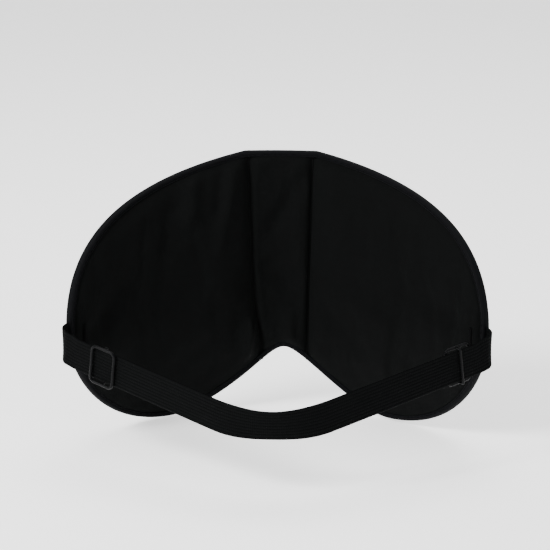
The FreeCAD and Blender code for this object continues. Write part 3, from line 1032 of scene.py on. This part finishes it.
class Finish:
    """A material being written: its tree, its principled shader and its nodes."""

    def __init__(self, name):
        self.material = bpy.data.materials.new(name)
        self.material.use_nodes = True
        self.tree = self.material.node_tree
        self.shader = self.tree.nodes["Principled BSDF"]

    def node(self, kind, settings=None, inputs=None, output=0):
        """Any node: its type, then its settings, then values or links of its inputs."""
        node = self.tree.nodes.new("ShaderNode" + kind)
        for key, value in (settings or {}).items():
            setattr(node, key, value)
        for key, value in (inputs or {}).items():
            connect(self.tree, value, node.inputs[key])
        return Flow(self.tree, node.outputs[output])

    def place(self, source="Object"):
        return self.node("TexCoord", output=source)

    def axis(self, vector, index):
        return self.node("SeparateXYZ", inputs={0: vector}, output=index)

    def noise(self, vector, scale, detail=3.0, rough=0.55):
        return self.node("TexNoise", inputs={
            "Vector": vector, "Scale": scale, "Detail": detail, "Roughness": rough})

    def blend(self, factor, first, second):
        """Colour mix; a Mix node's colour sockets are inputs 6 and 7 and output 2."""
        return self.node("Mix", {"data_type": "RGBA"}, {0: factor, 6: first, 7: second}, output=2)

    def bump(self, height, distance, strength, **below):
        """Bump; Normal= is the coarser bump that it lies on."""
        return self.node("Bump", inputs={
            "Height": height, "Distance": distance, "Strength": strength, **below})

    def set(self, **inputs):
        """Sets or links the shader's sockets; underscores stand for spaces."""
        for key, value in inputs.items():
            connect(self.tree, value, self.shader.inputs[key.replace("_", " ")])
        return self.material


# %% [markdown]
# ## The finishes
# Everything is black, so the pieces are told apart by how they catch the light:
# the lining is a soft, slightly brushed cloth with a faint bloom, the tape is a
# coarser and slightly smoother weave, the elastic has dull grooves darkened with
# painted shade between paler cords, the thread is twisted and dull, and the
# slides are enamelled wire.

# %% Cloth
def plain_weave(u, v, pitch):
    """Over-and-under yarns: the two sine sets take turns in a checker of the pitch."""
    across = u.sine(pitch)
    along = v.sine(pitch)
    crossing = (across - along).math("ABSOLUTE")
    return across.power(2.0) * 0.5 + along.power(2.0) * 0.5 + crossing * 0.35


def cloth(name, dark, light, pitch, rough, bloom, fuzz):
    """A woven black cloth: mottled dye, weave and fuzz in the bump, a little bloom."""
    finish = Finish(name)
    uv = finish.place("UV")
    place = finish.place()
    weave = plain_weave(finish.axis(uv, 0), finish.axis(uv, 1), pitch)
    mottle = finish.noise(place, 45.0, 4.0, 0.6)
    fleck = finish.noise(place, 900.0, 2.0, 0.7)
    mix = (mottle * 0.55 + fleck * 0.45 + weave * 0.25 - 0.2).math("ADD", 0.0, clamp=True)
    colour = finish.blend(mix, dark, light)
    height = weave * 0.5 + finish.noise(place, 2600.0, 2.0, 0.7) * fuzz
    soft = finish.bump(finish.noise(place, 160.0, 3.0, 0.5), 0.0006, 0.35)
    fine = finish.bump(height, 0.00012, 0.8, Normal=soft)
    return finish.set(
        Base_Color=colour, Roughness=mottle * 0.12 + (rough - 0.06), Normal=fine,
        Sheen_Weight=bloom, Sheen_Roughness=0.45, Sheen_Tint=(0.75, 0.82, 0.86),
        Specular_IOR_Level=0.06,
    )


LINING = cloth("lining_cloth", (0.0006, 0.0008, 0.0008), (0.0022, 0.0026, 0.0025),
               pitch=0.00042, rough=0.86, bloom=0.004, fuzz=0.9)
TAPE = cloth("tape_weave", (0.0007, 0.0008, 0.0011), (0.0024, 0.0026, 0.0034),
             pitch=0.00055, rough=0.72, bloom=0.006, fuzz=0.4)
CORD_CLOTH = cloth("seam_cloth", (0.0010, 0.0011, 0.0011), (0.0026, 0.0028, 0.0028),
                   pitch=0.0005, rough=0.9, bloom=0.0, fuzz=0.8)


# %% Elastic, thread and wire
def webbing_finish():
    """Cords along the elastic, crossed by fine weft yarn that bows over each cord."""
    finish = Finish("webbing")
    uv = finish.place("UV")
    along, across = finish.axis(uv, 0), finish.axis(uv, 1)
    cord = (across * (2 * math.pi * RIBS / (2 * ELASTIC_WIDTH))).math("SINE").math("ABSOLUTE")
    weft = (along + cord * 0.0003).sine(0.0009)
    groove = (1.0 - cord).power(3.0)
    speck = finish.noise(finish.place(), 1400.0, 2.0, 0.6)
    # painted shade: the colour is darkened in the grooves between the cords, where the arched
    # section already lies lower
    mix = (weft * 0.35 + speck * 0.5 + 0.15 - groove * 0.5).math("ADD", 0.0, clamp=True)
    colour = finish.blend(mix, (0.0005, 0.0006, 0.0006), (0.0028, 0.0032, 0.0033))
    height = weft * 0.6 + speck * 0.4
    return finish.set(
        Base_Color=colour, Roughness=0.74 + groove * 0.2, Normal=finish.bump(height, 0.00016, 0.8),
        Sheen_Weight=0.001, Sheen_Roughness=0.4, Specular_IOR_Level=0.03,
    )


def thread_finish():
    """Twisted thread: slanting strands from the sum of two coordinates."""
    finish = Finish("waxed_thread")
    place = finish.place()
    strand = (finish.axis(place, 0) + finish.axis(place, 2)).sine(0.00035)
    colour = finish.blend(strand, (0.0006, 0.0006, 0.0007), (0.0018, 0.0019, 0.0021))
    return finish.set(
        Base_Color=colour, Roughness=0.7, Normal=finish.bump(strand, 0.00005, 0.7),
        Specular_IOR_Level=0.04,
    )


def enamel_finish():
    """Black enamel on wire: satin, with a faint orange peel and rubbed patches."""
    finish = Finish("enamelled_wire")
    place = finish.place()
    worn = finish.noise(place, 260.0, 3.0, 0.6)
    rubbed = (worn - 0.58).math("MULTIPLY", 6.0, clamp=True)
    colour = finish.blend(rubbed, (0.0020, 0.0022, 0.0025), (0.0060, 0.0064, 0.0070))
    peel = finish.bump(finish.noise(place, 1100.0, 2.0, 0.5), 0.00004, 0.4)
    return finish.set(
        Base_Color=colour, Roughness=0.30 + worn * 0.16, Normal=peel,
        Specular_IOR_Level=0.06,
    )


WEBBING, THREAD, ENAMEL = webbing_finish(), thread_finish(), enamel_finish()

# %% Dress every piece
WARDROBE = (
    (PANELS, LINING, "lining"), ([edge_tape], TAPE, "binding"),
    (SEAM_CORDS, CORD_CLOTH, "lining"),
    ([edge_stitching, *SEAM_STITCHES, *TACKS], THREAD, "thread"),
    ((strap_left, strap_right), WEBBING, "elastic"), (SLIDES.values(), ENAMEL, "slide"),
)
for pieces, material, slot in WARDROBE:
    for piece in pieces:
        piece.data.materials.clear()
        piece.data.materials.append(material)
SEWN_TRIM = [edge_tape, edge_stitching, *TACKS, *SEAM_CORDS, *SEAM_STITCHES]
for piece in [*SEWN_TRIM, strap_left, strap_right, *SLIDES.values()]:
    outwards(piece)

# %% [markdown]
# ## What each piece rides on and stands for
# The pad is one body. The free elastic swings about a line through both wing
# tips, but its two halves are left here where they are made, on no body. The
# slides ride on bodies of their own.

# %% Bodies and hidden frame nodes
WORDS = ("left", "right")
WING_LAYERS = ("lining_", "face_wadding_", "bead_pouch_", "bead_fill_", "front_wadding_", "cover_")
for word, wing in zip(WORDS, (wing_left, wing_right)):
    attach(wing, "mask")
    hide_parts(*(layer + word for layer in WING_LAYERS))
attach(centre_panel, "mask")
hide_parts("lining_centre", "face_wadding_centre", "centre_core",
            "front_wadding_centre", "cover_centre")
for piece in SEWN_TRIM:
    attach(piece, "mask")
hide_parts("edge_binding")
for word, cord, tack in zip(WORDS, SEAM_CORDS, TACKS):
    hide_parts("channel_seam_" + word)
    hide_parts("strap_tack_" + word)


for side, word, half in zip((LEFT, RIGHT), WORDS, (strap_left, strap_right)):
    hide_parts("strap_elastic", "elastic_tail_" + word)
    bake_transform(half)
for body, slide in SLIDES.items():
    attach(slide, body)
    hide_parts(body)

# %% [markdown]
# ## Floor, light and camera
# The mask stands on its two cheek lobes, on a plain pale floor that sweeps up
# behind it. A softbox above and to the left models the hollow of the pad, a weak
# one on the right opens the shadows, and one from above and behind lights the
# crown and the elastic. The camera looks slightly down into the hollow from the
# face side.

# %% The floor and its sweep
FLOOR_GAP = 0.0012       # keeps the floor clear of the binding
FLOOR_Z = -LOBE_DEPTH - FLOOR_GAP
FLOOR_BACK, SWEEP_RADIUS = 1.6, 1.4
FLOOR_FRONT, FLOOR_HALF, WALL_TOP = -4.0, 5.0, 5.0


def floor_sweep():
    """A flat floor, then a quarter circle: y + r sin(a), r (1 - cos(a)), then a wall."""
    flat = np.array([[FLOOR_FRONT, 0.0], [FLOOR_BACK, 0.0]])
    angle = np.linspace(0, np.pi / 2, 24)
    curve = np.stack([
        FLOOR_BACK + SWEEP_RADIUS * np.sin(angle), SWEEP_RADIUS * (1 - np.cos(angle))], -1)
    line = np.concatenate([flat, curve[1:], [[FLOOR_BACK + SWEEP_RADIUS, WALL_TOP]]])
    x = np.array([-FLOOR_HALF, FLOOR_HALF])
    verts = np.stack([
        np.tile(x, len(line)), np.repeat(line[:, 0], 2), np.repeat(line[:, 1], 2) + FLOOR_Z], -1)
    step = np.arange(len(line) - 1) * 2
    faces = np.stack([step, step + 1, step + 3, step + 2], -1)
    return new_mesh_object("floor_sweep", verts, faces)


floor = floor_sweep()
pale = Finish("pale_floor")
mottle = pale.noise(pale.place(), 3.0)
floor_colour = pale.blend(mottle, (0.90, 0.90, 0.90), (0.93, 0.93, 0.93))
floor.data.materials.append(pale.set(
    Base_Color=floor_colour, Roughness=0.9, Emission_Color=(1.0, 1.0, 1.0), Emission_Strength=0.8))


# %% Lights and camera
def aimed(name, data, place, aim):
    """A lamp or camera at a place, turned so that its -Z looks at a point."""
    thing = bpy.data.objects.new(name, data)
    thing.location = place
    thing.rotation_euler = (Vector(aim) - Vector(place)).to_track_quat("-Z", "Y").to_euler()
    bpy.context.scene.collection.objects.link(thing)
    return thing


def softbox(name, place, aim, size, power):
    """A round area light of a size in metres and a power in watts, aimed at a point."""
    light = bpy.data.lights.new(name, "AREA")
    light.shape = "DISK"
    light.size = size
    light.energy = power
    aimed(name, light, place, aim)


softbox("key_softbox", (-0.75, -0.55, 0.75), (0, 0, 0.01), 0.45, 22.0)
softbox("fill_softbox", (0.8, -0.7, 0.35), (0, 0, 0.0), 0.7, 3.0)
softbox("top_softbox", (0.1, 0.35, 1.0), (0, 0, 0.0), 0.8, 8.0)
world = bpy.data.worlds.new("pale_room")
world.use_nodes = True
background = world.node_tree.nodes["Background"].inputs
background["Color"].default_value = (1.0, 1.0, 1.0, 1.0)
background["Strength"].default_value = 0.5
bpy.context.scene.world = world

CAMERA_DISTANCE = 0.90
CAMERA_ELEVATION = math.radians(16.0)
CAMERA_AZIMUTH = math.radians(2.2)
VIEW_WIDTH = 0.2558        # width of the picture at the aim point
SENSOR = 36.0
AIM = Vector((-0.0026, 0.0, 0.0165))
camera_data = bpy.data.cameras.new("camera")
camera_data.sensor_width = SENSOR
camera_data.lens = SENSOR * CAMERA_DISTANCE / VIEW_WIDTH
away = Vector(heading(CAMERA_AZIMUTH - math.pi / 2) * math.cos(CAMERA_ELEVATION))
away.z = math.sin(CAMERA_ELEVATION)
camera = aimed("camera", camera_data, AIM + away * CAMERA_DISTANCE, AIM)
bpy.context.scene.camera = camera
